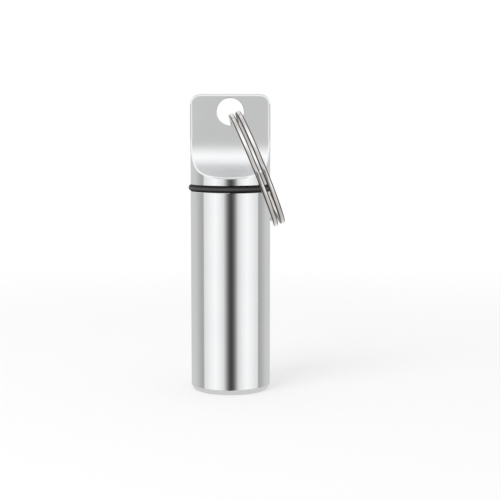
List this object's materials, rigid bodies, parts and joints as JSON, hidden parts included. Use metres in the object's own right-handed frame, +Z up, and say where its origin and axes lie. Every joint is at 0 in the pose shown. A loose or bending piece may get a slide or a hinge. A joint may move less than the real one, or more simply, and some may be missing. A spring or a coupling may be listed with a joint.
{
  "type": "pill fob keychain",
  "caption": "Round aluminium pill tube on a key ring: screw cap milled to a flat tab with an eye, rubber sealing ring at the joint and a wound split ring.",
  "frame": {"origin": "centre of the flat base of the tube", "axes": "+Z up the tube towards the cap, -Y out of the front face of the tab, +X to the side that the split ring leans to"},
  "size_m": [0.0196, 0.0246, 0.06],
  "materials": {
    "tube_aluminium": "turned and polished",
    "cap_aluminium": "turned, milled and polished",
    "seal_rubber": "moulded, satin black",
    "ring_nickel": "bright nickel plate"
  },
  "bodies": {
    "tube": {"tube": "tube_aluminium"},
    "seal_ring": {"seal_ring": "seal_rubber"},
    "screw_cap": {"screw_cap": "cap_aluminium"},
    "split_ring": {"split_ring": "ring_nickel"}
  },
  "joints": [
    {"name": "cap_lift", "type": "slide", "parent": "tube", "child": "seal_ring", "axis": [0, 0, 1], "range_m": [0, 0.00701]},
    {"name": "cap_turn", "type": "hinge", "parent": "seal_ring", "child": "screw_cap", "pos_m": [0, 0, 0.0406], "axis": [0, 0, 1], "range_deg": [0, 2520]},
    {"name": "ring_swing", "type": "hinge", "parent": "screw_cap", "child": "split_ring", "pos_m": [0, 0, 0.0565], "axis": [0, -1, 0], "range_deg": [0, 312.8]}
  ],
  "couplings": [
    {"joint": "cap_lift", "follows": "cap_turn", "m_per_rad": 0.00015915}
  ]
}
